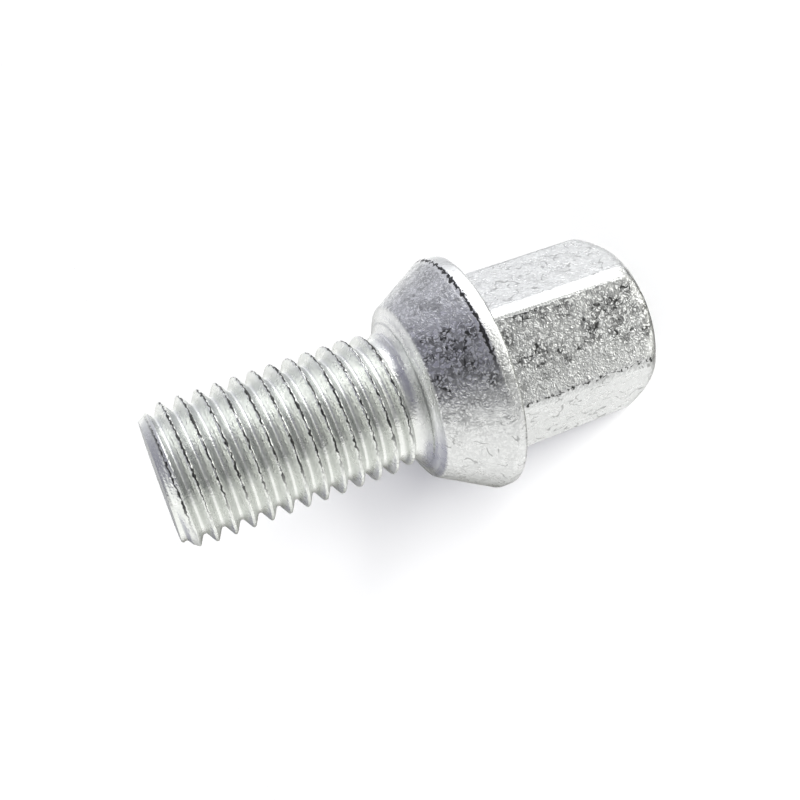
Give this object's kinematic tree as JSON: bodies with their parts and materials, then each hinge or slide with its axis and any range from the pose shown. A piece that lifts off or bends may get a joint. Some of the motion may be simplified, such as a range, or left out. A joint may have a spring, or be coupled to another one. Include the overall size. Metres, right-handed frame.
{
  "type": "wheel bolt",
  "caption": "Hexagon-head wheel bolt with a rimmed taper seat, short neck and fine metric thread, zinc-plated, standing on its head.",
  "frame": {"origin": "middle of the head's end face, on the surface that the bolt stands on", "axes": "+Z runs along the bolt's axis from the head to the thread's end; +X is the normal of one of the hexagon's flats"},
  "size_m": [0.02, 0.02, 0.0409],
  "materials": {
    "zinc_plated_steel": "satin zinc plating over forged and thread-rolled steel, with fine dark pitting on the hexagon and seat"
  },
  "bodies": {
    "root": {"wheel_bolt": "zinc_plated_steel"}
  },
  "joints": []
}
